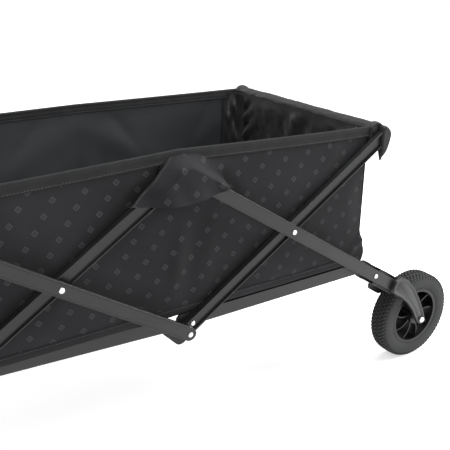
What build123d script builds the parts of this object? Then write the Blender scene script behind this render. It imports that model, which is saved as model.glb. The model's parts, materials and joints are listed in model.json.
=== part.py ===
from build123d import *
import os
from math import cos, radians, sin

# Folding camp wagon, open, standing on its four wheels. Sizes are in millimetres.
# +X runs to the rear and +Z up. The origin is on the ground under the wagon's middle.
# Each side has two X-shaped pairs of bars: a leg bar runs from the top centre hinge down and
# out to a wheel, an arm bar from the bottom centre up and out to an end tube.
# Side pieces are drawn on the near side, at negative Y, and mirrored to the far side.
# "face" is a distance from the centre plane and "rise above the pins" counts from node_z.
os.makedirs("parts", exist_ok=True)

# ---- driving dimensions ----
half_bar = 268.0  # scissor pin to end pin, the same on all eight bars
lean = 33.3  # slope of the bars when the wagon is open, degrees
bar_width = 25.0
bar_wall = 2.2
outer_face = 266.0  # outside of the outer bars
outer_depth = 8.0
inner_face = 253.0  # outside of the inner bars
inner_depth = 12.0
channel_recess = 5.0
edge_round = 0.8
groove_offset = 9.4
groove_width = 1.2
groove_depth = 0.6
rear_tail = 75.0  # leg bar past the lower pin
front_tail = 40.0
arm_tip = 4.5
stop_place = 18.0  # second rivet of the rear arm, from its bottom pin

pin_radius = 4.0
running_fit = 0.05
loop_fit = 0.3  # wider hole where the four-bar loop closes
head_radius = 5.0
head_height = 2.2
spacer_radius = 9.0
plate_face = 240.4  # centre plates, between the fabric and the inner bars
plate_depth = 3.8

wheel_radius = 101.5
wheel_width = 48.0
wheel_y = 236.6
rim_radius = 66.5
rim_width = 40.0
blade_count = 9
axle_out = 149.0  # rear axle behind and below the lower pin
axle_drop = 142.6
caster_trail = 35.0

tube_radius = 11.0
tube_wall = 1.5
top_tube_x = 439.0
top_tube_rise = 308.0
bracket_inside = 226.0
rail_pin_x = 38.0
rail_pin_rise = 9.0
rail_reach = 382.0
rail_face = 232.0
rail_depth = 10.0
front_rail_slope = 2.7
keel_tube_x = -6.0
keel_tube_rise = -18.0
keel_tube_radius = 9.0

board_rise = 42.0
board_thick = 8.0
board_start = 86.0
board_end = 418.0
board_half_width = 229.5

wall_face = 236.0
wall_thick = 3.0
wall_foot = 27.0
wall_end = 421.0
rim_line = [(-421, 314), (-90, 323), (0, 328), (90, 323), (421, 314)]
end_panel_foot = 45.0
end_panel_top = 284.0

fork_outer_face = 276.0
fork_outer_depth = 9.5
fork_inner_face = 207.0
fork_inner_depth = 10.0
caster_arm_in = 27.0
caster_arm_out = 33.0
stem_radius = 8.0

handle_x = -490.0
handle_lean = 1.5
handle_radius = 12.0
rod_radius = 9.5
collar_radius = 16.0
button_radius = 5.0
button_height = 485.0
button_play = 0.3

# ---- places worked out from them ----
span = half_bar * cos(radians(lean))
rise = half_bar * sin(radians(lean))
node_x = 2 * span
node_z = wheel_radius + axle_drop
pivot_z = node_z + rise
top_z = node_z + 2 * rise
axle_x = node_x + axle_out
swivel_x = -(axle_x + caster_trail)
hole = pin_radius + running_fit
bar_gap_out = outer_face - outer_depth


def near_plane(face, x=0.0, z=0.0, slope=0.0):
    """A plane that faces outwards on the near side, that far from the centre plane."""
    along = (cos(radians(slope)), 0, sin(radians(slope)))
    return Plane(origin=(x, -face, z), x_dir=along, z_dir=(0, -1, 0))


def keep(piece, name):
    """Label a finished part and write its STEP file."""
    piece.part.label = name
    export_step(piece.part, f"parts/{name}.step")


def keep_sides(piece, name):
    """Write a near-side part and its mirror image on the far side."""
    keep(piece, f"{name}_near")
    with BuildPart() as far:
        mirror(piece.part, about=Plane.XZ)
    keep(far, f"{name}_far")


def keep_pair(piece, name):
    """Write a near-side part and its mirror image together."""
    with BuildPart() as pair:
        add(piece.part)
        mirror(piece.part, about=Plane.XZ)
    keep(pair, name)


def round_bar(x, z, inside, outside, radius):
    """A round bar across the near side, between two faces."""
    with BuildPart() as bar:
        with BuildSketch(near_plane(outside, x, z)):
            Circle(radius)
        extrude(amount=inside - outside)
    return bar.part


def cross_tube(x, z, half_length, radius):
    """A tube across the whole wagon."""
    with BuildPart() as tube:
        with BuildSketch(near_plane(half_length, x, z)):
            Circle(radius)
            Circle(radius - tube_wall, mode=Mode.SUBTRACT)
        extrude(amount=-2 * half_length)
    return tube


def domed_head(x, z, face, radius=head_radius, height=head_height):
    """A domed rivet head that stands on a face."""
    with BuildPart() as head:
        with BuildSketch(near_plane(face, x, z)):
            Circle(radius)
        extrude(amount=height)
        fillet(head.edges().sort_by(Axis.Y)[0], radius=0.7 * height)
    return head.part


# ---- scissor bars ----
def bar_outline(width, reach, square):
    """Outline along a bar: its scissor pin is the zero and reach counts past its outer pin."""
    if square:
        SlotCenterToCenter(2 * half_bar, width)
        Rectangle(half_bar + reach, width, align=(Align.MIN, Align.CENTER))
    else:
        with Locations((reach / 2, 0)):
            SlotCenterToCenter(2 * half_bar + reach, width)


def scissor_bar(end, slope, outer, reach, square, holes):
    """A bar of one side; the outer bars turn a grooved web outwards, the inner bars a channel."""
    face = outer_face if outer else inner_face
    depth = outer_depth if outer else inner_depth
    outside = near_plane(face, end * span, pivot_z, slope)
    inside = near_plane(face - depth, end * span, pivot_z, slope)
    inner_reach = reach - bar_wall if square else reach
    with BuildPart() as bar:
        with BuildSketch(outside):
            bar_outline(bar_width, reach, square)
        extrude(amount=-depth)
        fillet(bar.faces().sort_by(Axis.Y)[0].edges(), radius=edge_round)
        with BuildSketch(inside if outer else outside):
            bar_outline(bar_width - 2 * bar_wall, inner_reach, square)
        extrude(amount=depth - bar_wall if outer else -channel_recess, mode=Mode.SUBTRACT)
        if outer:
            with BuildSketch(outside):
                with Locations((0, groove_offset), (0, -groove_offset)):
                    Rectangle(2 * half_bar - bar_width, groove_width)
            extrude(amount=-groove_depth, mode=Mode.SUBTRACT)
        with BuildSketch(outside):
            for place, radius in holes:
                with Locations((place, 0)):
                    Circle(radius)
        extrude(amount=-depth, mode=Mode.SUBTRACT)
    return bar


leg_holes = [(-half_bar, hole), (0, hole), (half_bar, hole)]
arm_holes = [(-half_bar, hole), (stop_place - half_bar, hole), (0, hole)]
loop_holes = [(-half_bar, pin_radius + loop_fit), (0, hole)]
keep_sides(scissor_bar(1, -lean, True, rear_tail, True, leg_holes), "rear_leg_bar")
keep_sides(scissor_bar(-1, 180 + lean, False, front_tail, True, leg_holes), "front_leg_bar")
keep_sides(scissor_bar(1, lean, False, arm_tip, False, arm_holes), "rear_arm_bar")
keep_sides(scissor_bar(-1, 180 - lean, True, arm_tip, False, loop_holes), "front_arm_bar")


# ---- rivets ----
def pivot_rivet(x, z, inside, tail_radius):
    """Rivet through both bars, with a tail disc inside and a spacer between the bars."""
    with BuildPart() as rivet:
        add(round_bar(x, z, inside, outer_face + 0.3, pin_radius))
        add(round_bar(x, z, inside, inside + 2, tail_radius))
        add(round_bar(x, z, inner_face + 0.3, bar_gap_out - 0.3, spacer_radius))
        add(domed_head(x, z, outer_face + 0.3))
    return rivet.part


with BuildPart() as rear_rivets:
    add(pivot_rivet(span, pivot_z, 238.6, 6.5))
    add(round_bar(node_x, node_z, 247, outer_face + 0.3, pin_radius))
    add(domed_head(node_x, node_z, outer_face + 0.3))
keep_pair(rear_rivets, "rear_rivets")

with BuildPart() as front_arm_rivets:
    add(pivot_rivet(-span, pivot_z, 238.6, 6.5))
keep_pair(front_arm_rivets, "front_arm_rivets")

web_face = inner_face - channel_recess
stop_x = stop_place * cos(radians(lean))
stop_z = node_z + stop_place * sin(radians(lean))
with BuildPart() as rear_arm_rivets:
    add(round_bar(stop_x, stop_z, inner_face - inner_depth + 2, web_face, pin_radius))
    add(domed_head(stop_x, stop_z, web_face))
keep_pair(rear_arm_rivets, "rear_arm_rivets")

with BuildPart() as front_leg_rivets:
    add(round_bar(-node_x, node_z, 233, web_face, pin_radius))
    add(domed_head(-node_x, node_z, web_face))
keep_pair(front_leg_rivets, "front_leg_rivets")

# ---- top centre hinge ----
plate_inside = plate_face - plate_depth
with BuildPart() as top_hinge_plates:
    with BuildSketch(near_plane(plate_face, 0, top_z - 6)):
        RectangleRounded(84, 44, 14)
        with Locations((0, 6)):
            Circle(hole, mode=Mode.SUBTRACT)
    extrude(amount=-plate_depth)
keep_pair(top_hinge_plates, "top_hinge_plates")

with BuildPart() as top_hinge_pins:
    add(round_bar(0, top_z, plate_inside, outer_face + 0.3, pin_radius))
    add(round_bar(0, top_z, inner_face + 0.3, bar_gap_out - 0.3, spacer_radius))
    add(domed_head(0, top_z, outer_face + 0.3))
keep_pair(top_hinge_pins, "top_hinge_pins")

# ---- end tubes and corner brackets ----
keep(cross_tube(node_x, node_z, bar_gap_out - 0.1, tube_radius), "rear_lower_tube")
keep(cross_tube(-node_x, node_z, inner_face - inner_depth, tube_radius), "front_lower_tube")
for end, side, bracket_face in (("rear", 1, 240.8), ("front", -1, 257.8)):
    tube = cross_tube(
        side * top_tube_x, node_z + top_tube_rise, bracket_inside - 0.2, tube_radius
    )
    keep(tube, f"{end}_top_tube")
    with BuildPart() as corner_brackets:
        with BuildSketch(near_plane(bracket_face)):
            with Locations((side * top_tube_x, node_z + top_tube_rise)):
                Circle(14)
            with Locations((side * (node_x + 4), top_z + 2)):
                Circle(12)
            make_hull()
        extrude(amount=bracket_inside - bracket_face)
    keep_pair(corner_brackets, f"{end}_corner_brackets")
    with BuildPart() as rail_collars:
        with BuildSketch(near_plane(rail_face + 1, side * node_x, node_z)):
            Circle(19.5)
            Circle(tube_radius + running_fit, mode=Mode.SUBTRACT)
        extrude(amount=-rail_depth - 2)
    keep_pair(rail_collars, f"{end}_rail_collars")

# ---- rear forks ----
leg_line = near_plane(bar_gap_out - 0.4, node_x, node_z, -lean)
with BuildPart() as rear_fork_sockets:
    with BuildSketch(leg_line):
        with Locations((24, 0)):
            Rectangle(60, 38, align=(Align.MIN, Align.CENTER))
    extrude(amount=-49.6)
    fillet(rear_fork_sockets.edges().filter_by(Axis.Y), radius=4)
    with BuildSketch(leg_line):
        with Locations((12, 0)):
            Rectangle(13, 36, align=(Align.MIN, Align.CENTER))
    extrude(amount=-11.6)
keep_pair(rear_fork_sockets, "rear_fork_sockets")

wheel_middle = near_plane(wheel_y, axle_x, wheel_radius)
with BuildPart() as rear_fork:
    with BuildSketch(near_plane(fork_outer_face, axle_x, wheel_radius)) as arm:
        with BuildLine():
            Spline((-94, 122.6), (-75, 125.6), (-35, 90.6), (-7, 44.6), (12, 3.6))
            ThreePointArc((12, 3.6), (4, -12), (-11, -5))
            Spline((-11, -5), (-32, 31.6), (-74, 74.6), (-99, 92.6))
            Line((-99, 92.6), (-94, 122.6))
        make_face()
        Circle(hole, mode=Mode.SUBTRACT)
    extrude(amount=-fork_outer_depth)
    fillet(rear_fork.faces().sort_by(Axis.Y)[0].outer_wire().edges(), radius=2.5)
    inner_arm = arm.sketch.moved(Location((0, fork_outer_face - fork_inner_face, 0)))
    extrude(inner_arm, amount=-fork_inner_depth)
    with BuildSketch(near_plane(fork_outer_face - 2, node_x, node_z, -lean)):
        with Locations((84.4, 0)):
            Rectangle(7.6, 30, align=(Align.MIN, Align.CENTER))
    extrude(amount=fork_inner_face - fork_inner_depth + 2 - fork_outer_face)
keep_sides(rear_fork, "rear_fork")

with BuildPart() as rear_axle_bolts:
    add(round_bar(axle_x, wheel_radius, 194, fork_outer_face, pin_radius))
    add(round_bar(axle_x, wheel_radius, 192, fork_inner_face - fork_inner_depth, 7))
    add(domed_head(axle_x, wheel_radius, fork_outer_face, 7, 4))
keep_pair(rear_axle_bolts, "rear_axle_bolts")


# ---- wheels ----
def tyre(x):
    """A fat round-shouldered tyre."""
    with BuildPart() as body:
        with BuildSketch(Plane((x, -wheel_y, wheel_radius), x_dir=(0, 1, 0), z_dir=(1, 0, 0))):
            with Locations((0, (wheel_radius + rim_radius) / 2)):
                RectangleRounded(wheel_width, wheel_radius - rim_radius, 12)
        revolve(axis=Axis((x, -wheel_y, wheel_radius), (0, 1, 0)))
    return body


def rim(x):
    """A moulded rim: barrel, hub and curved blade spokes."""
    with BuildSketch() as blade:
        with BuildLine():
            ThreePointArc((15.5, 0), (40, 9), (60.8, 3))
        trace(line_width=2.4)
    with BuildPart() as body:
        with BuildSketch(near_plane(wheel_y + rim_width / 2, x, wheel_radius)):
            Circle(rim_radius - running_fit)
            Circle(60, mode=Mode.SUBTRACT)
        extrude(amount=-rim_width)
        with BuildSketch(near_plane(wheel_y + 23, x, wheel_radius)):
            Circle(17)
        extrude(amount=-46)
        with BuildSketch(near_plane(wheel_y + 15, x, wheel_radius)):
            with PolarLocations(0, blade_count):
                add(blade.sketch)
        extrude(amount=-30)
        with BuildSketch(near_plane(wheel_y + 23, x, wheel_radius)):
            Circle(hole)
        extrude(amount=-46, mode=Mode.SUBTRACT)
    return body


for end, wheel_x in (("rear", axle_x), ("front", -axle_x)):
    keep_sides(tyre(wheel_x), f"{end}_tyre")
    keep_sides(rim(wheel_x), f"{end}_rim")

# ---- front casters ----
swivel = Plane(origin=(swivel_x, -wheel_y, 0))
with BuildPart() as caster_housing:
    with BuildSketch(near_plane(plate_face + 0.2)):
        with BuildLine():
            Polyline(
                (-620, 226), (-620, 252), (-540, 256), (-488, 250), (-470, 246), (-468, 224),
                (-484, 214), (-520, 218), close=True,
            )
        make_face()
    extrude(amount=-14.6)
    with BuildSketch(swivel.offset(214)):
        Circle(20)
    extrude(amount=46)
    with BuildSketch(swivel.offset(214)):
        Circle(stem_radius + running_fit)
    extrude(amount=46, mode=Mode.SUBTRACT)
keep_sides(caster_housing, "caster_housing")

with BuildPart() as caster_fork:
    for face in (wheel_y + caster_arm_out, wheel_y - caster_arm_in):
        with BuildSketch(near_plane(face, -axle_x, wheel_radius)):
            Circle(12)
            with Locations((-49, 105), (-17, 105)):
                Circle(7)
            make_hull()
            Circle(hole, mode=Mode.SUBTRACT)
        extrude(amount=caster_arm_in - caster_arm_out)
    with BuildSketch(swivel.offset(206)):
        with Locations((2, 0)):
            RectangleRounded(50, 66, 8)
    extrude(amount=7)
    with BuildSketch(swivel.offset(212)):
        Circle(stem_radius)
    extrude(amount=50)
    with BuildSketch(swivel.offset(260.4)):
        Circle(13)
    extrude(amount=4)
keep_sides(caster_fork, "caster_fork")

with BuildPart() as caster_axle:
    add(round_bar(-axle_x, wheel_radius, wheel_y - 36, wheel_y + 33, pin_radius))
    add(round_bar(-axle_x, wheel_radius, wheel_y - 37, wheel_y - 33, 7))
    add(domed_head(-axle_x, wheel_radius, wheel_y + 33, 7, 4))
keep_sides(caster_axle, "caster_axle")

# ---- bottom centre ----
with BuildPart() as keel_bracket:
    with BuildSketch(near_plane(plate_face, 0, node_z)):
        with Locations((-rail_pin_x, rail_pin_rise)):
            Circle(8)
        with Locations((rail_pin_x, rail_pin_rise)):
            Circle(11)
        with Locations((keel_tube_x, keel_tube_rise)):
            Circle(13)
        make_hull()
    extrude(amount=-plate_depth)
    with BuildSketch(near_plane(plate_face, 0, node_z)):
        with Locations((-2, 18), (22, 20)):
            Circle(11)
        Circle(12)
        make_hull()
    extrude(amount=-plate_depth)
    with BuildSketch(near_plane(plate_inside, 16.5, node_z)):
        with Locations((0, 6.5)):
            Rectangle(15, 31)
    extrude(amount=205 - plate_inside)
    with BuildSketch(near_plane(231, 16.5, node_z)):
        with Locations((0, 31.9)):
            Rectangle(15, 19.8)
    extrude(amount=205 - 231)
    with BuildSketch(near_plane(plate_face, 0, node_z)):
        Circle(hole)
        for x in (-rail_pin_x, rail_pin_x):
            with Locations((x, rail_pin_rise)):
                Circle(hole)
    extrude(amount=-plate_depth, mode=Mode.SUBTRACT)
keep_sides(keel_bracket, "keel_bracket")
keel_z = node_z + keel_tube_rise
keep(cross_tube(keel_tube_x, keel_z, plate_inside, keel_tube_radius), "keel_tube")

with BuildPart() as keel_pins:
    add(pivot_rivet(0, node_z, plate_inside - 2, 7))
    for x in (-rail_pin_x, rail_pin_x):
        add(round_bar(x, node_z + rail_pin_rise, 219.5, plate_face - 0.4, pin_radius))
        add(round_bar(x, node_z + rail_pin_rise, 219, 221.5, 6))
keep_pair(keel_pins, "keel_pins")


# ---- folding floor ----
def floor_rails(side, slope):
    """A channel rail on each side, from its pin at the bottom centre to the end tube."""
    outside = near_plane(rail_face, side * rail_pin_x, node_z + rail_pin_rise, slope)
    inside = near_plane(rail_face - rail_depth, side * rail_pin_x, node_z + rail_pin_rise, slope)
    with BuildPart() as rail:
        with BuildSketch(outside):
            Circle(bar_width / 2)
            Rectangle(rail_reach, bar_width, align=(Align.MIN, Align.CENTER))
        extrude(amount=-rail_depth)
        with BuildSketch(inside):
            with Locations((12, 0)):
                Rectangle(
                    rail_reach - 12, bar_width - 2 * bar_wall, align=(Align.MIN, Align.CENTER)
                )
        extrude(amount=rail_depth - bar_wall, mode=Mode.SUBTRACT)
        with BuildSketch(outside):
            Circle(hole)
        extrude(amount=-rail_depth, mode=Mode.SUBTRACT)
    return rail


def floor_board(side, low_start, low_end):
    """Half of the floor, with a batten along each side that rests on the rail."""
    with BuildPart() as board:
        with BuildSketch(Plane.XY.offset(node_z + board_rise)):
            with Locations((side * (board_start + board_end) / 2, 0)):
                RectangleRounded(board_end - board_start, 2 * board_half_width, 12)
        extrude(amount=board_thick)
        for y in (-board_half_width + 3, board_half_width - 13):
            with BuildSketch(Plane.XZ.offset(-y)):
                with BuildLine():
                    Polyline(
                        (side * 92, node_z + low_start), (side * 92, node_z + board_rise + 1),
                        (side * 408, node_z + board_rise + 1), (side * 408, node_z + low_end),
                        close=True,
                    )
                make_face()
            extrude(amount=-10)
    return board


keep_pair(floor_rails(1, 0), "rear_floor_rails")
keep_pair(floor_rails(-1, 180 - front_rail_slope), "front_floor_rails")
keep(floor_board(1, 21.6, 21.6), "floor_board_rear")
keep(floor_board(-1, 24.4, 39.2), "floor_board_front")
with BuildPart() as floor_board_centre:
    with BuildSketch(Plane.XY.offset(node_z + board_rise)):
        RectangleRounded(156, 436, 8)
    extrude(amount=board_thick)
keep(floor_board_centre, "floor_board_centre")

# ---- fabric ----
with BuildPart() as side_panel:
    with BuildSketch(near_plane(wall_face, 0, node_z)):
        with BuildLine():
            Polyline(*rim_line, (wall_end, wall_foot), (-wall_end, wall_foot), close=True)
        make_face()
    extrude(amount=-wall_thick)
keep_sides(side_panel, "side_panel")

panel_middle = node_z + (end_panel_foot + end_panel_top) / 2
for end, start in (("rear", wall_end), ("front", -wall_end - wall_thick)):
    with BuildPart() as end_panel:
        with BuildSketch(Plane((start, 0, panel_middle), x_dir=(0, 1, 0), z_dir=(1, 0, 0))):
            Rectangle(2 * wall_face, end_panel_top - end_panel_foot)
        extrude(amount=wall_thick)
    keep(end_panel, f"end_panel_{end}")

# ---- pull handle ----
with BuildPart() as handle_clamp:
    with BuildSketch(near_plane(20, -node_x, node_z)):
        Circle(17)
    extrude(amount=-40)
    for face in (20, -14):
        with BuildSketch(near_plane(face, 0, node_z)):
            with Locations((-node_x, 0)):
                Circle(17)
            with Locations((handle_x, 0)):
                Circle(11)
            make_hull()
        extrude(amount=-6)
    with BuildSketch(near_plane(20, 0, node_z)):
        with Locations((-node_x, 0)):
            Circle(tube_radius + running_fit)
        with Locations((handle_x, 0)):
            Circle(hole)
    extrude(amount=-40, mode=Mode.SUBTRACT)
keep(handle_clamp, "handle_clamp")

with BuildPart() as handle_pin:
    add(round_bar(handle_x, node_z, -20.3, 20.3, pin_radius))
    add(domed_head(handle_x, node_z, 20.3, 7))
    add(round_bar(handle_x, node_z, -22.5, -20.3, 7))
keep(handle_pin, "handle_pin")

upright = (sin(radians(handle_lean)), 0, cos(radians(handle_lean)))
to_rear = (cos(radians(handle_lean)), 0, -sin(radians(handle_lean)))
handle_foot = Plane(origin=(handle_x, 0, node_z), x_dir=to_rear, z_dir=upright)
with BuildPart() as handle_outer_tube:
    with BuildSketch(handle_foot.offset(-11)):
        RectangleRounded(20, 27, 3)
    extrude(amount=30)
    with BuildSketch(handle_foot.offset(18)):
        Circle(handle_radius)
    extrude(amount=452)
    with BuildSketch(handle_foot.offset(26)):
        Circle(handle_radius - 1.8)
    extrude(amount=444, mode=Mode.SUBTRACT)
    with BuildSketch(near_plane(20, handle_x, node_z)):
        Circle(hole)
    extrude(amount=-40, mode=Mode.SUBTRACT)
keep(handle_outer_tube, "handle_outer_tube")

to_front = (-cos(radians(handle_lean)), 0, sin(radians(handle_lean)))
button_middle = handle_foot.offset(button_height).origin
button_plane = Plane(origin=button_middle, x_dir=(0, 1, 0), z_dir=to_front)
with BuildPart() as handle_collar:
    with BuildSketch(handle_foot.offset(470.2)):
        Circle(collar_radius)
    extrude(amount=29.8)
    fillet(handle_collar.edges().sort_by(Axis.Z)[-1], radius=3)
    with BuildSketch(handle_foot.offset(470.2)):
        Circle(rod_radius + running_fit)
    extrude(amount=29.8, mode=Mode.SUBTRACT)
    with BuildSketch(button_plane):
        Circle(button_radius + button_play)
    extrude(amount=collar_radius + 1, mode=Mode.SUBTRACT)
keep(handle_collar, "handle_collar")

with BuildPart() as lock_button:
    with BuildSketch(button_plane.offset(13.2)):
        Circle(button_radius)
    extrude(amount=6.3)
    fillet(lock_button.edges().sort_by(Axis.X)[0], radius=1)
keep(lock_button, "lock_button")

with BuildPart() as handle_inner_tube:
    with BuildSketch(handle_foot.offset(60)):
        Circle(rod_radius)
        Circle(rod_radius - 1.6, mode=Mode.SUBTRACT)
    extrude(amount=476)
keep(handle_inner_tube, "handle_inner_tube")

grip_middle = handle_foot.offset(575).origin
grip_plane = Plane(origin=grip_middle, x_dir=(0, 1, 0), z_dir=to_rear)
with BuildPart() as handle_grip:
    with BuildSketch(grip_plane.offset(-12)):
        RectangleRounded(128, 78, 26)
    extrude(amount=24)
    fillet(handle_grip.faces().filter_by(GeomType.PLANE).sort_by(Axis.X)[0].edges(), radius=9)
    fillet(handle_grip.faces().filter_by(GeomType.PLANE).sort_by(Axis.X)[-1].edges(), radius=9)
    with BuildSketch(grip_plane.offset(-12)):
        RectangleRounded(96, 36, 16)
    extrude(amount=24, mode=Mode.SUBTRACT)
    with BuildSketch(handle_foot.offset(512)):
        Circle(15)
    extrude(amount=30)
    with BuildSketch(handle_foot.offset(512)):
        Circle(rod_radius + running_fit)
    extrude(amount=24, mode=Mode.SUBTRACT)
keep(handle_grip, "handle_grip")
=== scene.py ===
"""Folding camp wagon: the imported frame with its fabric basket, tyres and finishes."""

import bmesh
import bpy
import json
import math
from math import cos, pi, radians, sin, sqrt
from mathutils import Euler, Matrix, Vector, noise


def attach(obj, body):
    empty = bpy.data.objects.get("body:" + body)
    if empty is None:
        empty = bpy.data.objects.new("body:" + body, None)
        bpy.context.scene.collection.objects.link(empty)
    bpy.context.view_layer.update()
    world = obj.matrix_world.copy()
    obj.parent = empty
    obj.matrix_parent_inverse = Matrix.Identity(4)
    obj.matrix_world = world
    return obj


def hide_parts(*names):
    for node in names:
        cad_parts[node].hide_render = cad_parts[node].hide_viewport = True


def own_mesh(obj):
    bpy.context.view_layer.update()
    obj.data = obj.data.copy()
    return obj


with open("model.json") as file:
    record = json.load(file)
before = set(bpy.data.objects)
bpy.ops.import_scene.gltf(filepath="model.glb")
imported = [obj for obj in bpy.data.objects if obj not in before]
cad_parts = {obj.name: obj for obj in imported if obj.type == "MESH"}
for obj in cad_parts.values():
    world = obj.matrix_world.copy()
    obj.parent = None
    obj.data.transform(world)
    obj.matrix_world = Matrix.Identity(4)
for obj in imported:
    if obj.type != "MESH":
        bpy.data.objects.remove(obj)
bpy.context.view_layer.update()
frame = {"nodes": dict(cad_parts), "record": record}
nodes = frame["nodes"]

# Lengths are in metres. "rise" counts up from the lower pins of the scissor frame.
PIN_Z = 0.2441
WALL_X = 0.421
WALL_Y = 0.2345
HEM_RISE = 0.027
BAR_LEAN = radians(33.3)
END_TUBE = (0.439, PIN_Z + 0.308)
TUBE_R = 0.011
AXLE_X = 0.596993
AXLE_Z = 0.1015
WHEEL_Y = 0.2366
TREAD_PITCHES = 66
TAPE_REACH = 0.0185
STITCH_DROP = 0.0145
MAT_BASE = PIN_Z + 0.0505
MAT_BLANK = 0.0075
SKY_LIGHT = 0.62
SKY_SEEN_EXTRA = 0.4
FLOOR_SEEN_GLOW = 0.48


# ---- camera and light ----
camera = bpy.data.objects.new("Camera", bpy.data.cameras.new("Camera"))
bpy.context.collection.objects.link(camera)
camera.data.lens = 54.633
camera.data.sensor_width = 36
camera.location = (-0.51936, -1.18130, 0.86751)
tilt = Euler((radians(68.463), 0, radians(-32.816))).to_matrix()
camera.rotation_euler = (tilt @ Matrix.Rotation(radians(0.4455), 3, "Z")).to_euler()
bpy.context.scene.camera = camera
bpy.context.scene.view_settings.view_transform = "Standard"


def soft_light(name, place, target, size, power):
    """A square area lamp that faces a point."""
    lamp = bpy.data.objects.new(name, bpy.data.lights.new(name, "AREA"))
    bpy.context.collection.objects.link(lamp)
    lamp.data.size = size
    lamp.data.energy = power
    lamp.location = place
    aim = Vector(target) - Vector(place)
    lamp.rotation_euler = aim.to_track_quat("-Z", "Y").to_euler()


soft_light("Top light", (0.5, -0.2, 3.0), (0.1, 0, 0.3), 1.8, 105)
soft_light("Front light", (-0.6, -3.4, 1.7), (0, 0, 0.4), 2.0, 36)
soft_light("Side light", (3.4, -1.4, 1.8), (0.3, 0, 0.4), 1.5, 122)
soft_light("Back light", (-0.6, 3.0, 2.2), (0, 0, 0.4), 2.2, 45)
world = bpy.data.worlds.new("Studio")
world.use_nodes = True
world.node_tree.nodes["Background"].inputs["Color"].default_value = (1, 1, 1, 1)
world.node_tree.nodes["Background"].inputs["Strength"].default_value = SKY_LIGHT
sky = world.node_tree
sky_seen = sky.nodes.new("ShaderNodeLightPath").outputs["Is Camera Ray"]
sky_strength = sky.nodes.new("ShaderNodeMath")
sky_strength.operation = "MULTIPLY_ADD"
sky.links.new(sky_seen, sky_strength.inputs[0])
sky_strength.inputs[1].default_value = SKY_SEEN_EXTRA
sky_strength.inputs[2].default_value = SKY_LIGHT
sky.links.new(sky_strength.outputs[0], sky.nodes["Background"].inputs["Strength"])
bpy.context.scene.world = world


# ---- shader groups ----
def wire(tree, source, target):
    """Join a socket, or set a plain value."""
    if isinstance(source, bpy.types.NodeSocket):
        tree.links.new(source, target)
    else:
        target.default_value = source


def sum_of(tree, operation, first, second=0.0, third=0.0):
    """The result of a math node."""
    node = tree.nodes.new("ShaderNodeMath")
    node.operation = operation
    for socket, value in zip(node.inputs, (first, second, third)):
        wire(tree, value, socket)
    return node.outputs[0]


def noise_of(tree, vector, scale, detail=2.0, roughness=0.5):
    """The value of a noise texture."""
    node = tree.nodes.new("ShaderNodeTexNoise")
    wire(tree, vector, node.inputs["Vector"])
    node.inputs["Scale"].default_value = scale
    node.inputs["Detail"].default_value = detail
    node.inputs["Roughness"].default_value = roughness
    return node.outputs[0]


def new_group(name, inputs, outputs):
    """An empty shader group with named inputs and outputs."""
    group = bpy.data.node_groups.new(name, "ShaderNodeTree")
    for label, kind, value in inputs:
        socket = group.interface.new_socket(label, in_out="INPUT", socket_type=kind)
        if value is not None:
            socket.default_value = value
    for label, kind in outputs:
        group.interface.new_socket(label, in_out="OUTPUT", socket_type=kind)
    start = group.nodes.new("NodeGroupInput").outputs
    end = group.nodes.new("NodeGroupOutput").inputs
    return group, start, end


FLOAT = "NodeSocketFloat"
COLOUR = "NodeSocketColor"
VECTOR = "NodeSocketVector"


def make_variation():
    """Two colours mixed in soft clouds, and a roughness that follows them."""
    group, start, end = new_group(
        "Colour variation",
        [
            ("Vector", VECTOR, None), ("Dark", COLOUR, (0, 0, 0, 1)),
            ("Light", COLOUR, (1, 1, 1, 1)),
            ("Scale", FLOAT, 12.0), ("Roughness", FLOAT, 0.5), ("Spread", FLOAT, 0.08),
        ],
        [("Color", COLOUR), ("Roughness", FLOAT)],
    )
    clouds = group.nodes.new("ShaderNodeTexNoise")
    wire(group, start["Vector"], clouds.inputs["Vector"])
    wire(group, start["Scale"], clouds.inputs["Scale"])
    clouds.inputs["Detail"].default_value = 4
    mask = sum_of(group, "MULTIPLY_ADD", clouds.outputs[0], 2.2, -0.6)
    blend = group.nodes.new("ShaderNodeMix")
    blend.data_type = "RGBA"
    wire(group, mask, blend.inputs[0])
    wire(group, start["Dark"], blend.inputs[6])
    wire(group, start["Light"], blend.inputs[7])
    wire(group, blend.outputs[2], end["Color"])
    swing = sum_of(group, "SUBTRACT", clouds.outputs[0], 0.5)
    rough = sum_of(group, "MULTIPLY_ADD", swing, start["Spread"], start["Roughness"])
    wire(group, rough, end["Roughness"])
    return group


def make_weave():
    """Crossed threads on all three axes, as a height."""
    group, start, end = new_group(
        "Woven threads",
        [("Vector", VECTOR, None), ("Pitch", FLOAT, 0.0016), ("Slub", FLOAT, 0.35)],
        [("Height", FLOAT)],
    )
    axes = group.nodes.new("ShaderNodeSeparateXYZ")
    wire(group, start["Vector"], axes.inputs[0])
    turns = sum_of(group, "DIVIDE", 2 * pi, start["Pitch"])
    waves = []
    for axis in range(3):
        angle = sum_of(group, "MULTIPLY", axes.outputs[axis], turns)
        waves.append(sum_of(group, "SINE", angle))
    crossed = sum_of(group, "MULTIPLY", sum_of(group, "ADD", waves[0], waves[1]), waves[2])
    flat = sum_of(group, "MULTIPLY", waves[0], waves[1])
    both = sum_of(group, "ADD", crossed, flat)
    slub = noise_of(group, start["Vector"], 260)
    rough = sum_of(group, "MULTIPLY", slub, start["Slub"])
    wire(group, sum_of(group, "MULTIPLY_ADD", both, 0.3, rough), end["Height"])
    return group


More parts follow.
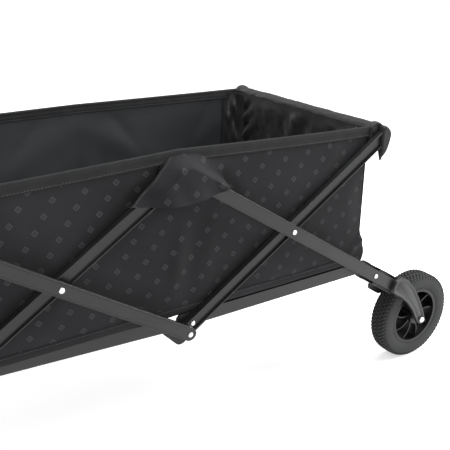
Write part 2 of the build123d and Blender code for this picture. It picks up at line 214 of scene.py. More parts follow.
def make_lozenges():
    """A mask of small outlined lozenges on a skewed lattice in X and Z."""
    group, start, end = new_group("Lozenge print", [("Vector", VECTOR, None)], [("Mask", FLOAT)])
    axes = group.nodes.new("ShaderNodeSeparateXYZ")
    wire(group, start["Vector"], axes.inputs[0])
    x, z = axes.outputs[0], axes.outputs[2]
    across = sum_of(group, "MULTIPLY_ADD", x, 16.13, sum_of(group, "MULTIPLY", z, 32.26))
    down = sum_of(group, "MULTIPLY_ADD", x, 4.48, sum_of(group, "MULTIPLY", z, -46.6))
    across = sum_of(group, "SUBTRACT", sum_of(group, "FRACT", across), 0.5)
    down = sum_of(group, "SUBTRACT", sum_of(group, "FRACT", down), 0.5)
    dx = sum_of(group, "MULTIPLY_ADD", across, 0.052, sum_of(group, "MULTIPLY", down, 0.036))
    dz = sum_of(group, "MULTIPLY_ADD", across, 0.005, sum_of(group, "MULTIPLY", down, -0.018))
    size = sum_of(
        group, "ADD", sum_of(group, "ABSOLUTE", dx), sum_of(group, "ABSOLUTE", dz)
    )
    ring = sum_of(group, "ABSOLUTE", sum_of(group, "SUBTRACT", size, 0.0048))
    outline = sum_of(group, "LESS_THAN", ring, 0.0009)
    dot = sum_of(group, "LESS_THAN", size, 0.0014)
    wire(group, sum_of(group, "MAXIMUM", outline, dot), end["Mask"])
    return group


VARIATION = make_variation()
WEAVE = make_weave()
LOZENGES = make_lozenges()


def place_group(tree, group, **values):
    """A group node with its inputs joined or set."""
    node = tree.nodes.new("ShaderNodeGroup")
    node.node_tree = group
    for label, value in values.items():
        wire(tree, value, node.inputs[label])
    return node.outputs


def finish_of(
    name, dark, light, rough, spread=0.1, scale=12.0, metal=0.0, grain=0.0, grain_scale=900.0,
    weave=0.0, pitch=0.0016, sheen=0.0, coat=0.0, printed=0.0, specular=0.5,
):
    """A material with clouded colour, and a fine grain or weave."""
    material = bpy.data.materials.new(name)
    material.use_nodes = True
    tree = material.node_tree
    surface = tree.nodes["Principled BSDF"]
    place = tree.nodes.new("ShaderNodeTexCoord").outputs["Object"]
    clouds = place_group(
        tree, VARIATION, Vector=place, Dark=(*dark, 1), Light=(*light, 1), Scale=scale,
        Roughness=rough, Spread=spread,
    )
    colour = clouds["Color"]
    if printed:
        mask = place_group(tree, LOZENGES, Vector=place)["Mask"]
        blend = tree.nodes.new("ShaderNodeMix")
        blend.data_type = "RGBA"
        wire(tree, sum_of(tree, "MULTIPLY", mask, printed), blend.inputs[0])
        wire(tree, colour, blend.inputs[6])
        blend.inputs[7].default_value = (0.14, 0.14, 0.145, 1)
        colour = blend.outputs[2]
    wire(tree, colour, surface.inputs["Base Color"])
    wire(tree, clouds["Roughness"], surface.inputs["Roughness"])
    surface.inputs["Metallic"].default_value = metal
    surface.inputs["Specular IOR Level"].default_value = specular
    surface.inputs["Sheen Weight"].default_value = sheen
    surface.inputs["Coat Weight"].default_value = coat
    bump = tree.nodes.new("ShaderNodeBump")
    bump.inputs["Distance"].default_value = 0.0006
    if weave:
        bump.inputs["Strength"].default_value = weave
        height = place_group(tree, WEAVE, Vector=place, Pitch=pitch)["Height"]
    else:
        bump.inputs["Strength"].default_value = grain
        height = noise_of(tree, place, grain_scale, 3)
    wire(tree, height, bump.inputs["Height"])
    wire(tree, bump.outputs[0], surface.inputs["Normal"])
    return material


powder_coat = finish_of(
    "Grey powder coat", (0.0085, 0.0087, 0.009), (0.0145, 0.0148, 0.0152), 0.30, 0.16, 14,
    metal=0.0, grain=0.12, grain_scale=1100, specular=0.36,
)
canvas = finish_of(
    "Printed canvas", (0.0108, 0.0108, 0.0118), (0.019, 0.019, 0.0206), 0.8, 0.12, 7,
    weave=0.3, pitch=0.0014, sheen=0.03, printed=0.24, specular=0.1,
)
canvas_plain = finish_of(
    "Plain canvas", (0.011, 0.011, 0.012), (0.017, 0.017, 0.0185), 0.8, 0.1, 9,
    weave=0.3, pitch=0.0014, sheen=0.03, specular=0.12,
)
coated_lining = finish_of(
    "Coated lining", (0.026, 0.028, 0.030), (0.036, 0.038, 0.041), 0.5, 0.12, 5,
    weave=0.12, pitch=0.0012, sheen=0.0, specular=0.25,
)
silky_lining = finish_of(
    "Silky lining", (0.006, 0.006, 0.0065), (0.011, 0.011, 0.0115), 0.34, 0.14, 8,
    weave=0.16, pitch=0.0012, sheen=0.15, specular=0.5,
)
webbing = finish_of(
    "Binding tape", (0.0105, 0.0107, 0.0112), (0.0165, 0.0168, 0.0172), 0.75, 0.1, 30,
    weave=0.5, pitch=0.0022, sheen=0.03, specular=0.15,
)
# Dark sleeve cloth for the sleeves, pouches and caps; on the gusset's side flap the same dark
# colour is painted shade for the shadowed slit beside the gusset.
sleeve_and_shade_cloth = finish_of(
    "Sleeve and shade cloth", (0.007, 0.007, 0.0078), (0.012, 0.012, 0.013), 0.55, 0.12, 10,
    weave=0.3, pitch=0.0013, sheen=0.02, specular=0.3,
)
thread = finish_of(
    "Sewing thread", (0.02, 0.02, 0.021), (0.045, 0.045, 0.046), 0.55, 0.1, 200,
    weave=0.5, pitch=0.0008, sheen=0.1,
)
black_plastic = finish_of(
    "Black moulding", (0.004, 0.004, 0.0044), (0.008, 0.008, 0.0084), 0.4, 0.14, 20,
    grain=0.3, grain_scale=1500, specular=0.3,
)
rim_gloss = finish_of(
    "Glossy rim", (0.0025, 0.0025, 0.0028), (0.005, 0.005, 0.0054), 0.3, 0.1, 20,
    grain=0.08, grain_scale=1200, specular=0.3,
)
grey_plastic = finish_of(
    "Grey moulding", (0.013, 0.0133, 0.0142), (0.019, 0.0196, 0.0209), 0.42, 0.12, 18,
    grain=0.22, grain_scale=1300,
)
tyre_foam = finish_of(
    "Tyre foam", (0.028, 0.0285, 0.029), (0.043, 0.0435, 0.044), 0.8, 0.12, 16,
    grain=0.5, grain_scale=700, specular=0.2,
)
zinc = finish_of(
    "Zinc plate", (0.5, 0.5, 0.5), (0.72, 0.72, 0.72), 0.3, 0.15, 120,
    metal=1.0, grain=0.12, grain_scale=2200,
)
bright_tube = finish_of(
    "Anodised tube", (0.4, 0.4, 0.41), (0.48, 0.48, 0.49), 0.28, 0.1, 25,
    metal=1.0, grain=0.1, grain_scale=2500,
)
slot_finish = {
    "grey_steel": powder_coat, "fabric": canvas, "floor_board": canvas_plain,
    "black_plastic": black_plastic, "grey_plastic": grey_plastic, "tyre": tyre_foam,
    "zinc": zinc, "bright_tube": bright_tube,
}
for entry in frame["record"]["subparts"]:
    cad = nodes[entry["node"]]
    cad.data.materials.clear()
    is_rim = "_rim_" in entry["node"]
    cad.data.materials.append(rim_gloss if is_rim else slot_finish[entry["material_slot"]])


# ---- modelling helpers ----
def deselect():
    """Leave edit mode and clear the selection."""
    if bpy.context.object and bpy.context.object.mode != "OBJECT":
        bpy.ops.object.mode_set(mode="OBJECT")
    bpy.ops.object.select_all(action="DESELECT")


def named(name, *materials):
    """Name the new active object and give it its materials."""
    piece = bpy.context.object
    piece.name = name
    piece.data.name = name
    for material in materials:
        piece.data.materials.append(material)
    return piece


def apply_place(piece):
    """Put the piece's place into its mesh."""
    deselect()
    piece.select_set(True)
    bpy.context.view_layer.objects.active = piece
    bpy.ops.object.transform_apply(location=True, rotation=True, scale=True)


def modify(piece, kind, **settings):
    """Add a modifier and apply it."""
    deselect()
    piece.select_set(True)
    bpy.context.view_layer.objects.active = piece
    modifier = piece.modifiers.new(kind.title(), kind)
    for label, value in settings.items():
        setattr(modifier, label, value)
    bpy.ops.object.modifier_apply(modifier=modifier.name)
    return piece


def smooth(piece, angle=40):
    """Smooth shading, except over sharp edges."""
    deselect()
    piece.select_set(True)
    bpy.context.view_layer.objects.active = piece
    bpy.ops.object.shade_smooth_by_angle(angle=radians(angle))
    return piece


def cloth_grid(name, columns, rows, shape, materials, flip=False):
    """A grid of cloth whose points go where shape(u, v) says, with u and v from -1 to 1."""
    deselect()
    bpy.ops.mesh.primitive_grid_add(x_subdivisions=columns, y_subdivisions=rows, size=2)
    piece = named(name, *materials)
    for point in piece.data.vertices:
        point.co = shape(point.co.x, point.co.y)
    if flip:
        bpy.ops.object.mode_set(mode="EDIT")
        bpy.ops.mesh.select_all(action="SELECT")
        bpy.ops.mesh.flip_normals()
        bpy.ops.object.mode_set(mode="OBJECT")
    return piece


def thicken(piece, thickness, offset=-1.0, lining=False):
    """Give a cloth its thickness; the lining takes the next material."""
    modify(
        piece, "SOLIDIFY", thickness=thickness, offset=offset, material_offset=1 if lining else 0
    )
    return smooth(piece, 60)


def mirror_copy(piece, name, axis):
    """The mirror image of a piece across one axis."""
    deselect()
    piece.select_set(True)
    bpy.context.view_layer.objects.active = piece
    bpy.ops.object.duplicate()
    twin = bpy.context.object
    twin.name = name
    twin.data.name = name
    for point in twin.data.vertices:
        point.co[axis] = -point.co[axis]
    bpy.ops.object.mode_set(mode="EDIT")
    bpy.ops.mesh.select_all(action="SELECT")
    bpy.ops.mesh.flip_normals()
    bpy.ops.object.mode_set(mode="OBJECT")
    return twin


def far_copy(piece, name):
    """The mirror image of a near piece, on the far side."""
    return mirror_copy(piece, name, 1)


def end_copy(piece, name):
    """The mirror image of a rear piece, at the front end."""
    return mirror_copy(piece, name, 0)


def ease(value):
    """0 to 1 with soft ends."""
    value = min(max(value, 0.0), 1.0)
    return value * value * (3 - 2 * value)


def bell(value, width):
    """A soft ridge around zero."""
    return math.exp(-((value / width) ** 2))


def ripple(x, y, z, scale):
    """Smooth noise, from -1 to 1."""
    return noise.noise(Vector((x, y, z)) * scale)


# ---- basket walls ----
def rim_rise(x):
    """Height of the rim along the side, highest over the centre hinge."""
    return 0.314 + 0.0135 * (1 - min(abs(x) / WALL_X, 1.0)) ** 1.3


def wall_depth(x, rise):
    """How far the fabric stands out from its mean plane."""
    height = (rise - HEM_RISE) / 0.29
    bar = 0.0
    for slope in (1, -1):
        centre = 0.1471 + slope * (abs(x) - 0.224) * math.tan(BAR_LEAN)
        bar = max(bar, bell((rise - centre) * cos(BAR_LEAN), 0.03))
    belly = 0.0045 * sin(pi * min(max(height, 0), 1)) * (1 - 0.85 * bar)
    belly += 0.0016 * ripple(x, 0.3, rise, 9) * (1 - 0.7 * bar)
    pull = 0.0014 * bell((abs(x) - 0.30) - (rise - 0.2) * 0.45, 0.016) * ease(height * 3)
    pull += 0.0016 * bell((abs(x) - 0.12) + (rise - 0.25) * 0.7, 0.018)
    foot_waves = sin((abs(x) * 0.75 + rise) * 95)
    pull += 0.0012 * foot_waves * bell(rise - 0.06, 0.05) * bell(abs(x) - 0.36, 0.06)
    lean = x - (rise - 0.1) * 0.15
    free = bell(rise - 0.13, 0.07)
    pull += (0.0034 * bell(lean + 0.012, 0.012) - 0.0026 * bell(lean - 0.018, 0.013)) * free
    pull += 0.0018 * bell(lean - 0.05, 0.014) * free
    edge = ease((WALL_X - abs(x)) / 0.04) * ease(height * 9) * ease((1 - height) * 8)
    return (belly + pull) * edge


def side_wall(u, v):
    x = u * WALL_X
    sag = 0.003 * (1 - u * u) * sin(u * 9)
    low = HEM_RISE + sag * 0.4
    rise = low + (v + 1) / 2 * (rim_rise(x) - low)
    corner = ease((abs(u) - 0.93) / 0.07)
    x += math.copysign(0.016 * corner * bell(rise - 0.047, 0.03), u)
    x -= math.copysign(0.003 * corner * ease((rise - 0.1) / 0.1), u)
    fold = 0.006 * bell(rise - 0.075 + (WALL_X - abs(x)) * 0.8, 0.012) * ease((abs(u) - 0.85) / 0.1)
    return (x, -WALL_Y - wall_depth(x, rise) - fold, PIN_Z + rise)


near_wall = cloth_grid("side_wall_near", 150, 56, side_wall, (canvas, coated_lining))
thicken(near_wall, 0.0014, lining=True)


def rim_tape(u, v):
    """Tape folded over the rim."""
    x = u * (WALL_X + 0.001)
    top = rim_rise(x) + 0.0012
    along = (v + 1) / 2
    reach = TAPE_REACH + 0.0006 * ripple(x, 1, 1, 30)
    if along < 0.46:
        y, rise = 0.0022, top - reach * (1 - along / 0.46)
    elif along > 0.54:
        y, rise = -0.0032, top - reach * (along - 0.54) / 0.46
    else:
        turn = (along - 0.46) / 0.08 * pi
        y, rise = -0.0005 + 0.0027 * cos(turn), top + 0.0016 * sin(turn)
    puff = 0.0005 * sin(along * pi * 8) * (1 if y > 0 else -1)
    return (x, -WALL_Y - y - puff * 0.5 - 0.0004 * ripple(x, rise, 2, 60), PIN_Z + rise)


near_tape = cloth_grid("rim_tape_near", 130, 26, rim_tape, (webbing,))
thicken(near_tape, 0.0009, offset=0)


def hem_tape(u, v):
    """Turned hem along the foot of the wall."""
    x = u * WALL_X
    rise = HEM_RISE + 0.001 + 0.0075 * (v + 1)
    return (x, -WALL_Y - 0.0011 - 0.0012 * (1 - v * v) - 0.0004 * ripple(x, 4, 4, 25), PIN_Z + rise)


near_hem = cloth_grid("hem_near", 110, 8, hem_tape, (canvas_plain,))
thicken(near_hem, 0.0012, offset=0)

# One stitch, copied along every seam.
deselect()
bpy.ops.mesh.primitive_cylinder_add(
    vertices=6, radius=0.00045, depth=0.0034, rotation=(0, pi / 2, 0)
)
one_stitch = named("one_stitch", thread)
apply_place(one_stitch)
modify(one_stitch, "BEVEL", width=0.0002, segments=1)
stitch_mesh = one_stitch.data


def stitches(name, path, pitch=0.005):
    """Stitches along a path of (place, direction)."""
    seam = bmesh.new()
    length = 0.0
    last = None
    for place in path:
        place = Vector(place)
        if last is None:
            last = place
            continue
        length += (place - last).length
        if length >= pitch:
            length = 0.0
            turn = (place - last).to_track_quat("X", "Z").to_matrix().to_4x4()
            turn.translation = place
            copy = stitch_mesh.copy()
            copy.transform(turn)
            seam.from_mesh(copy)
            bpy.data.meshes.remove(copy)
        last = place
    mesh = bpy.data.meshes.new(name)
    seam.to_mesh(mesh)
    seam.free()
    mesh.materials.append(thread)
    piece = bpy.data.objects.new(name, mesh)
    bpy.context.collection.objects.link(piece)
    return smooth(piece, 50)


def along_wall(rise_of, proud, start=-0.418, end=0.418, steps=1600):
    """Points on the outside of the near wall."""
    points = []
    for step in range(steps + 1):
        x = start + (end - start) * step / steps
        rise = rise_of(x)
        points.append((x, -WALL_Y - proud, PIN_Z + rise))
    return points


near_seams = [
    stitches("rim_stitches_near", along_wall(lambda x: rim_rise(x) - STITCH_DROP, 0.0031)),
    stitches("rim_stitches_inside_near", along_wall(lambda x: rim_rise(x) - STITCH_DROP, -0.0042)),
    stitches("hem_stitches_near", along_wall(lambda x: HEM_RISE + 0.013, 0.0024)),
]


# ---- centre gusset, pulled out over the top hinge ----
APEX_X = -0.013
TACK = (-0.099, 0.254)
GUSSET_FOOT = [TACK, (-0.05, 0.2468), (-0.001, 0.245), (0.045, 0.2505), (0.079, 0.258)]


def foot_of(s):
    """The gusset's lower edge, from left to right."""
    place = min(max(s, 0.0), 0.9999) * (len(GUSSET_FOOT) - 1)
    index = int(place)
    part = place - index
    part = part * 0.6 + ease(part) * 0.4
    a, b = GUSSET_FOOT[index], GUSSET_FOOT[index + 1]
    return a[0] + (b[0] - a[0]) * part, a[1] + (b[1] - a[1]) * part


def gusset_depth(x, rise, head_rise, s, down):
    """How far the cloth stands out: a tent from its top edge down to the bar it covers."""
    full = 0.0365 - 0.0145 * ease((-x - 0.02) / 0.08)
    bar_top = 0.3105 - 0.657 * x
    part = min((head_rise - rise) / max(0.018, head_rise - bar_top), 1.0)
    tent = 0.55 * part + 0.45 * ease(part)
    tent = down + (tent - down) * ease(s / 0.18)
    right = 1 - (1 - ease((1 - s) / 0.75)) * ease((rise - bar_top) / 0.016)
    return 0.0012 + wall_depth(x, rise) + (full - 0.003) * tent * right - 0.0014 * (1 - right)


def gusset_shape(u, v):
    s = (u + 1) / 2
    down = (1 - v) / 2
    foot_x, foot_rise = foot_of(s)
    head_x = APEX_X + 0.132 * s
    head_rise = rim_rise(head_x) - 0.004 - 0.012 * ease((s - 0.32) / 0.3)
    x = head_x + (foot_x - head_x) * down
    rise = head_rise + (foot_rise - head_rise) * down
    depth = gusset_depth(x, rise, head_rise, s, down)
    loose = ease(down * 3) * ease((1 - s) * 6)
    drape = 0.0016 * ripple(x, 2, rise, 26) + 0.0018 * sin(x * 110 + rise * 70) * down
    crease = 0.002 * bell(x - 0.035 - (0.30 - rise) * 0.62, 0.0055) * down
    depth += (drape - crease) * loose
    return (x, -WALL_Y - depth, PIN_Z + rise)


near_gusset = cloth_grid("centre_gusset_near", 72, 52, gusset_shape, (canvas, canvas_plain))
thicken(near_gusset, 0.0011, lining=True)


def gusset_flap(u, v):
    """The turned edge that joins the gusset's left side back to the wall."""
    down = (1 - v) / 2
    place = Vector(gusset_shape(-1 + 0.004, v))
    back = (u + 1) / 2
    sink = -WALL_Y - 0.002
    y = place.y + (sink - place.y) * back
    return (place.x + 0.8 * (y - place.y), y, place.z - 0.002 * back * down)


# The flap takes the dark sleeve cloth as painted shade: its darkness stands for the shadow in the
# slit left of the gusset, not for a darker cloth.
near_gusset_side = cloth_grid("gusset_side_near", 12, 52, gusset_flap, (sleeve_and_shade_cloth,), flip=True)
thicken(near_gusset_side, 0.0012, offset=0)
gusset_edge = []
for step in range(900):
    point = Vector(gusset_shape(-0.955, 1 - 2 * step / 899))
    gusset_edge.append((point.x, point.y - 0.0004, point.z))
near_seams.append(stitches("gusset_stitches_near", gusset_edge, 0.0045))


# ---- end walls ----
def end_wall(u, v):
    y = u * 0.2335
    height = (v + 1) / 2
    rise = 0.036 + height * 0.272
    edge = ease((1 - abs(u)) / 0.07)
    folds = 0.0048 * ripple(y * 1.5 + rise * 0.6, 5, rise * 0.5, 15)
    folds += 0.0026 * ripple(y - rise * 0.7, 6, rise, 34) + 0.0011 * ripple(y, 8, rise, 75)
    corner_waves = sin((abs(y) * 0.8 + rise) * 150)
    corner = 0.004 * bell(abs(y) - 0.19, 0.025) * corner_waves * ease((rise - 0.12) / 0.1)
    belly = 0.010 * sin(pi * height) * cos(u * pi / 2)
    top = ease((1 - height) / 0.12)
    loose = (belly + folds + corner) * edge * ease(height * 6) * top
    return (WALL_X + 0.0016 + 0.0036 * (1 - top) + max(loose, -0.004), y, PIN_Z + rise)


rear_wall = cloth_grid("end_wall_rear", 110, 64, end_wall, (canvas_plain, silky_lining))
thicken(rear_wall, 0.0013, lining=True)


def end_sleeve(u, v):
    """Cloth looped over the end tube: over the top and down the outside."""
    y = u * 0.2262
    along = (v + 1) / 2
    tube_x, tube_z = END_TUBE
    loose = 0.0010 * ripple(y, 7, along * 0.05, 22) + 0.0008 * ripple(y, 8, along * 0.2, 60)
    radius = TUBE_R + 0.0020 + loose
    if along < 0.55:
        turn = (along / 0.55 * 1.08 - 0.08) * pi
        return (tube_x - radius * cos(turn), y, tube_z + radius * sin(turn))
    part = (along - 0.55) / 0.45
    x = tube_x + radius - part**2 * 0.010 + 0.0022 * ripple(y, 3, part * 0.1, 24) * part
    return (x, y, tube_z - 0.050 * part - 0.004 * part * sin(y * 31) ** 2)


rear_sleeve = cloth_grid(
    "end_sleeve_rear", 130, 60, end_sleeve, (sleeve_and_shade_cloth, canvas_plain), flip=True
)
thicken(rear_sleeve, 0.0012, offset=0)


def corner_web(u, v):
    """Gathered cloth across the inside corner."""
    height = (v + 1) / 2
    rise = 0.05 + height * 0.262
    turn = (u + 1) / 2
    x = 0.381 + 0.0405 * sin(turn * pi / 2)
    y = 0.2322 - 0.037 * (1 - cos(turn * pi / 2))
    gather = sin(turn * pi) * (
        0.0016 * sin(rise * 95 + turn * 4 + 3 * ripple(turn, 1, rise, 5))
        + 0.0040 * ripple(turn * 0.08, 2, rise, 22)
    )
    return (x - gather * 0.7, -y + gather, PIN_Z + rise - 0.004 * turn * height)


rear_web = cloth_grid("corner_web_rear_near", 24, 90, corner_web, (silky_lining,))
thicken(rear_web, 0.001, offset=0)


def sleeve_tape(u, v):
    """Tape along the lower edge of the end sleeve, outside."""
    y = u * 0.2262
    place = Vector(end_sleeve(u, 0.86 + 0.12 * v))
    return (place.x + 0.0016 + 0.0006 * (1 - v * v), y, place.z)


rear_sleeve_tape = cloth_grid("sleeve_tape_rear", 90, 6, sleeve_tape, (webbing,), flip=True)
thicken(rear_sleeve_tape, 0.0008, offset=0)


# ---- corner pouches over the bar ends ----
POUCH = [
    (0.4225, 0.313), (0.431, 0.3235), (0.443, 0.3255), (0.455, 0.3195), (0.4655, 0.3085),
    (0.4675, 0.298), (0.459, 0.284), (0.450, 0.272), (0.442, 0.264), (0.4330, 0.2590),
    (0.4245, 0.2620), (0.4225, 0.28),
]


def corner_pouch(name, outline, outside, inside):
    """A sewn cloth pouch, made from its side outline and drawn in towards its edges."""
    deselect()
    bpy.ops.mesh.primitive_circle_add(vertices=len(outline), fill_type="NGON")
    piece = named(name, sleeve_and_shade_cloth)
    for point, (x, rise) in zip(piece.data.vertices, outline):
        point.co = (x, -outside, PIN_Z + rise)
    bpy.ops.object.mode_set(mode="EDIT")
    bpy.ops.mesh.select_all(action="SELECT")
    bpy.ops.mesh.normals_make_consistent(inside=False)
    bpy.ops.mesh.inset(thickness=0.006, depth=0)
    bpy.ops.object.mode_set(mode="OBJECT")
    modify(piece, "SOLIDIFY", thickness=outside - inside, offset=0)
    middle = (outside + inside) / 2
    shift = -middle - sum(point.co.y for point in piece.data.vertices) / len(piece.data.vertices)
    for point in piece.data.vertices:
        point.co.y += shift
    modify(piece, "SUBSURF", levels=3, render_levels=3)
    for point in piece.data.vertices:
        push = 0.0009 * ripple(point.co.x, point.co.y, point.co.z, 55)
        point.co.y += push
        point.co.x += push * 0.8
    bpy.ops.object.mode_set(mode="EDIT")
    bpy.ops.mesh.select_all(action="SELECT")
    bpy.ops.mesh.normals_make_consistent(inside=False)
    bpy.ops.object.mode_set(mode="OBJECT")
    return smooth(piece, 70)


CAP = [
    (0.4400, 0.3080), (0.4450, 0.3190), (0.4540, 0.3180), (0.4640, 0.3085), (0.4665, 0.2990),
    (0.4630, 0.2840), (0.4570, 0.2650), (0.4510, 0.2480), (0.4465, 0.2490), (0.4420, 0.2740),
]
rear_pouch = corner_pouch("corner_pouch_rear_near", POUCH, 0.2405, 0.2235)
front_pouch_source = corner_pouch("corner_pouch_front_source", POUCH, 0.2575, 0.2235)
rear_cap = corner_pouch("bar_end_cover_rear_near", CAP, 0.2570, 0.2380)
front_cap_source = corner_pouch("bar_end_cover_front_source", CAP, 0.2695, 0.2540)


# ---- tyres ----
TYRE_SECTION = [
    (0.0172, 0.0662), (0.0196, 0.0668), (0.0200, 0.0688), (0.0216, 0.0700), (0.0222, 0.0716),
    (0.0232, 0.0750), (0.0238, 0.0810), (0.0237, 0.0860), (0.0231, 0.0900), (0.0222, 0.0928),
    (0.0216, 0.0930), (0.0204, 0.0952), (0.0180, 0.0968), (0.0120, 0.0976), (0.0028, 0.0980),
    (0.0018, 0.0962), (0.0000, 0.0960),
]
TREAD_ROWS = [(0.0054, 0.0991, 0.0), (0.0112, 0.0989, 0.5), (0.0168, 0.0977, 0.0)]


def tyre(name, x, y):
    """A block-tread tyre: a spun section with rows of low blocks and a centre groove."""
    deselect()
    half = TYRE_SECTION + [(-a, r) for a, r in reversed(TYRE_SECTION[:-1])]
    bpy.ops.mesh.primitive_circle_add(vertices=len(half), fill_type="NOTHING")
    piece = named(name, tyre_foam)
    for point, (across, radius) in zip(piece.data.vertices, half):
        point.co = (0, across, radius)
    bpy.ops.object.mode_set(mode="EDIT")
    bpy.ops.mesh.select_all(action="SELECT")
    bpy.ops.mesh.spin(steps=112, angle=2 * pi, center=(0, 0, 0), axis=(0, 1, 0))
    bpy.ops.mesh.select_all(action="SELECT")
    bpy.ops.mesh.remove_doubles(threshold=0.0001)
    bpy.ops.mesh.normals_make_consistent(inside=False)
    bpy.ops.object.mode_set(mode="OBJECT")
    deselect()
    bpy.ops.mesh.primitive_cube_add(size=1)
    block = named("block", tyre_foam)
    block.scale = (0.0066, 0.0046, 0.0046)
    apply_place(block)
    modify(block, "BEVEL", width=0.0007, segments=1)
    tread = bmesh.new()
    tread.from_mesh(piece.data)
    for row in range(TREAD_PITCHES):
        for across, radius, lead in TREAD_ROWS:
            for side in (-1, 1):
                turn = Matrix.Rotation(2 * pi * (row + lead + 0.25 * side) / TREAD_PITCHES, 4, "Y")
                lean = Matrix.Rotation(-side * 0.14 * (across > 0.015) * 4, 4, "X")
                copy = block.data.copy()
                copy.transform(turn @ Matrix.Translation((0, side * across, radius)) @ lean)
                tread.from_mesh(copy)
                bpy.data.meshes.remove(copy)
        for side in (-1, 1):
            turn = Matrix.Rotation(2 * pi * (row + 0.5 + 0.25 * side) / TREAD_PITCHES, 4, "Y")
            lean = Matrix.Rotation(-side * 1.15, 4, "X") @ Matrix.Diagonal((0.62, 1.25, 0.7, 1))
            copy = block.data.copy()
            copy.transform(turn @ Matrix.Translation((0, side * 0.0214, 0.0938)) @ lean)
            tread.from_mesh(copy)
            bpy.data.meshes.remove(copy)
    tread.to_mesh(piece.data)
    tread.free()
    bpy.data.objects.remove(block)
    piece.data.transform(Matrix.Translation((x, y, AXLE_Z)))
    return smooth(piece, 35)


for end, wheel_x in (("rear", AXLE_X), ("front", -AXLE_X)):
    for side, wheel_y in (("near", -WHEEL_Y), ("far", WHEEL_Y)):
        rubber = tyre(f"tyre_{end}_{side}", wheel_x, wheel_y)
        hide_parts(f"{end}_tyre_{side}")
        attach(rubber, f"wheel_{end}_{side}")

# ---- rear forks ----
FORK = [
    (0.521, -0.018), (0.5405, -0.030), (0.562, -0.0535), (0.5825, -0.086), (0.597, -0.114),
    (0.6045, -0.132), (0.6085, -0.1430), (0.6050, -0.1515), (0.5960, -0.1540), (0.5875, -0.1490),
    (0.5770, -0.1330), (0.5650, -0.1110), (0.5450, -0.0860), (0.5230, -0.0670), (0.4985, -0.0505),
    (0.4970, -0.0420), (0.5040, -0.0240),
]


def fork_cheek(name, outside, depth, dished):
    """One cheek of the fork, with a raised border round a dished face."""
    deselect()
    bpy.ops.mesh.primitive_circle_add(vertices=len(FORK), fill_type="NGON")
    cheek = named(name, grey_plastic)
    for point, (x, rise) in zip(cheek.data.vertices, FORK):
        point.co = (x, -outside, PIN_Z + rise)
    bpy.ops.object.mode_set(mode="EDIT")
    bpy.ops.mesh.select_all(action="SELECT")
    bpy.ops.mesh.extrude_region_move(TRANSFORM_OT_translate={"value": (0, depth, 0)})
    bpy.ops.mesh.select_all(action="SELECT")
    bpy.ops.mesh.normals_make_consistent(inside=False)
    bpy.ops.object.mode_set(mode="OBJECT")
    if dished:
        for face in cheek.data.polygons:
            face.select = face.normal.y < -0.9
        bpy.ops.object.mode_set(mode="EDIT")
        bpy.ops.mesh.select_mode(type="FACE")
        bpy.ops.object.mode_set(mode="OBJECT")
        for face in cheek.data.polygons:
            face.select = face.normal.y < -0.9
        bpy.ops.object.mode_set(mode="EDIT")
        bpy.ops.mesh.inset(thickness=0.0032, depth=0)
        bpy.ops.mesh.inset(thickness=0.0022, depth=-0.0022)
        bpy.ops.mesh.inset(thickness=0.0030, depth=0)
        bpy.ops.mesh.inset(thickness=0.0020, depth=0.0012)
        bpy.ops.object.mode_set(mode="OBJECT")
    modify(cheek, "BEVEL", width=0.0012, segments=2, limit_method="ANGLE", angle_limit=radians(35))
    return cheek


def rear_fork(name):
    """Two cheeks and the bridge that joins them over the tyre."""
    outer = fork_cheek(name, 0.2760, 0.0095, True)
    inner = fork_cheek("inner_cheek", 0.2070, 0.0100, False)
    for point in inner.data.vertices:
        point.co.z -= 0.020 * ease((0.553 - point.co.x) / 0.03)
    deselect()
    bpy.ops.mesh.primitive_cube_add(size=1)
    bridge = named("bridge", grey_plastic)
    bridge.scale = (0.0095, 0.0690, 0.0330)
    bridge.rotation_euler = (0, BAR_LEAN, 0)
    bridge.location = (0.448 + 0.0885 * cos(BAR_LEAN), -0.2385, PIN_Z - 0.0885 * sin(BAR_LEAN))
    apply_place(bridge)
    modify(bridge, "BEVEL", width=0.002, segments=2)
    deselect()
    for part in (inner, bridge, outer):
        part.select_set(True)
    bpy.context.view_layer.objects.active = outer
    bpy.ops.object.join()
    return smooth(outer, 35)


near_fork = rear_fork("fork_rear_near")

# ---- far and front copies, and what each piece rides on ----
far_wall = far_copy(near_wall, "side_wall_far")
far_fork = far_copy(near_fork, "fork_rear_far")
for piece, side in ((near_fork, "near"), (far_fork, "far")):
    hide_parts(f"rear_fork_{side}")
    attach(piece, "rear_leg")
far_tape = far_copy(near_tape, "rim_tape_far")
far_hem = far_copy(near_hem, "hem_far")
far_gusset = far_copy(near_gusset, "centre_gusset_far")
far_seams = [far_copy(seam, seam.name.replace("near", "far")) for seam in near_seams]
far_gusset_side = far_copy(near_gusset_side, "gusset_side_far")
for piece in (far_wall, far_tape, far_gusset, far_gusset_side, *far_seams):
    for point in piece.data.vertices:
        middle = (1 - min(abs(point.co.x) / WALL_X, 1.0)) ** 1.3
        point.co.z -= 0.0095 * middle * ease((point.co.z - PIN_Z - 0.1) / 0.2)
front_wall = end_copy(rear_wall, "end_wall_front")
rear_web_far = far_copy(rear_web, "corner_web_rear_far")
front_web = end_copy(rear_web, "corner_web_front_near")
front_web_far = far_copy(front_web, "corner_web_front_far")
front_sleeve_tape = end_copy(rear_sleeve_tape, "sleeve_tape_front")
front_sleeve = end_copy(rear_sleeve, "end_sleeve_front")
rear_pouch_far = far_copy(rear_pouch, "corner_pouch_rear_far")
front_pouch = end_copy(front_pouch_source, "corner_pouch_front_near")
front_pouch_far = far_copy(front_pouch, "corner_pouch_front_far")
rear_cap_far = far_copy(rear_cap, "bar_end_cover_rear_far")
front_cap = end_copy(front_cap_source, "bar_end_cover_front_near")
front_cap_far = far_copy(front_cap, "bar_end_cover_front_far")
bpy.data.objects.remove(front_pouch_source)
bpy.data.objects.remove(front_cap_source)
bpy.data.objects.remove(one_stitch)

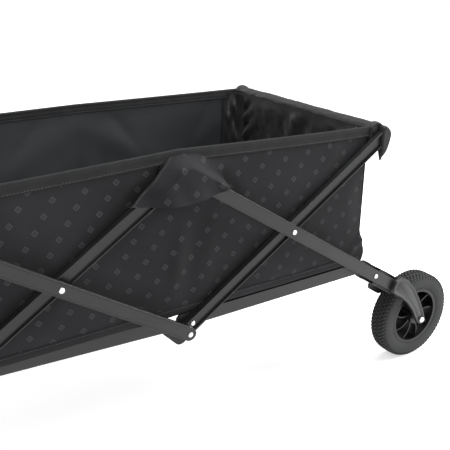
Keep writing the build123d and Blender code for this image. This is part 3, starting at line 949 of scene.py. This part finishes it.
for piece in (
    near_wall, far_wall, near_tape, far_tape, near_hem, far_hem, near_gusset, far_gusset,
    near_gusset_side, far_gusset_side, rear_web, rear_web_far, front_web, front_web_far,
    rear_wall, front_wall, *near_seams, *far_seams,
):
    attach(piece, "basket")
    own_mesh(piece)
for piece, arm in (
    (rear_sleeve, "rear_arm"), (front_sleeve, "front_arm"), (rear_pouch, "rear_arm"),
    (rear_pouch_far, "rear_arm"), (front_pouch, "front_arm"), (front_pouch_far, "front_arm"),
    (rear_sleeve_tape, "rear_arm"), (front_sleeve_tape, "front_arm"),
    (rear_cap, "rear_arm"), (rear_cap_far, "rear_arm"), (front_cap, "front_arm"),
    (front_cap_far, "front_arm"),
):
    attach(piece, arm)
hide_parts("side_panel_near")
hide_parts("side_panel_far")
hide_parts("end_panel_rear")
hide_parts("end_panel_front")

# ---- quilted floor mat in three sections ----
def floor_mat(name, start, end, half_width, body):
    """A stitched pad: a closed form that swells between its channels."""
    deselect()
    bpy.ops.mesh.primitive_cube_add(size=1)
    pad = named(name, canvas_plain)
    pad.scale = (end - start, 2 * half_width, MAT_BLANK)
    pad.location = ((start + end) / 2, 0, PIN_Z + 0.0542)
    apply_place(pad)
    bpy.ops.object.mode_set(mode="EDIT")
    bpy.ops.mesh.select_all(action="SELECT")
    bpy.ops.mesh.subdivide(number_cuts=63)
    bpy.ops.object.mode_set(mode="OBJECT")
    length = end - start
    columns = max(1, round(length / 0.083))
    rows = 5
    for point in pad.data.vertices:
        u = (point.co.x - start) / length
        w = (point.co.y + half_width) / (2 * half_width)
        swell = abs(sin(pi * u * columns)) ** 0.45 * abs(sin(pi * w * rows)) ** 0.45
        share = (point.co.z - MAT_BASE) / MAT_BLANK
        edge = min(u * length, (1 - u) * length, w * 2 * half_width, (1 - w) * 2 * half_width)
        roll = 0.35 + 0.65 * sqrt(max(1 - (1 - min(edge / 0.006, 1)) ** 2, 0))
        height = (0.0028 + 0.0052 * swell + 0.0005 * ripple(point.co.x, point.co.y, 0, 45)) * roll
        point.co.z = MAT_BASE + max(share, 0) * height
    smooth(pad, 60)
    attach(pad, body)
    if body != "keel":
        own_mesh(pad)


floor_mat("floor_mat_centre", -0.0832, 0.0832, 0.217, "keel")
floor_mat("floor_mat_rear", 0.0835, 0.4145, 0.2265, "floor_rear")
floor_mat("floor_mat_front", -0.4145, -0.0835, 0.2265, "floor_front")

# ---- floor ----
deselect()
bpy.ops.mesh.primitive_plane_add(size=70)
pale_floor = finish_of("Pale floor", (0.86, 0.86, 0.86), (0.88, 0.88, 0.88), 0.9, 0.05, 2)
floor_tree = pale_floor.node_tree
floor_seen = floor_tree.nodes.new("ShaderNodeLightPath").outputs["Is Camera Ray"]
floor_glow = floor_tree.nodes["Principled BSDF"].inputs
floor_glow["Emission Color"].default_value = (1, 1, 1, 1)
glow = sum_of(floor_tree, "MULTIPLY", floor_seen, FLOOR_SEEN_GLOW)
wire(floor_tree, glow, floor_glow["Emission Strength"])
ground = named("floor", pale_floor)
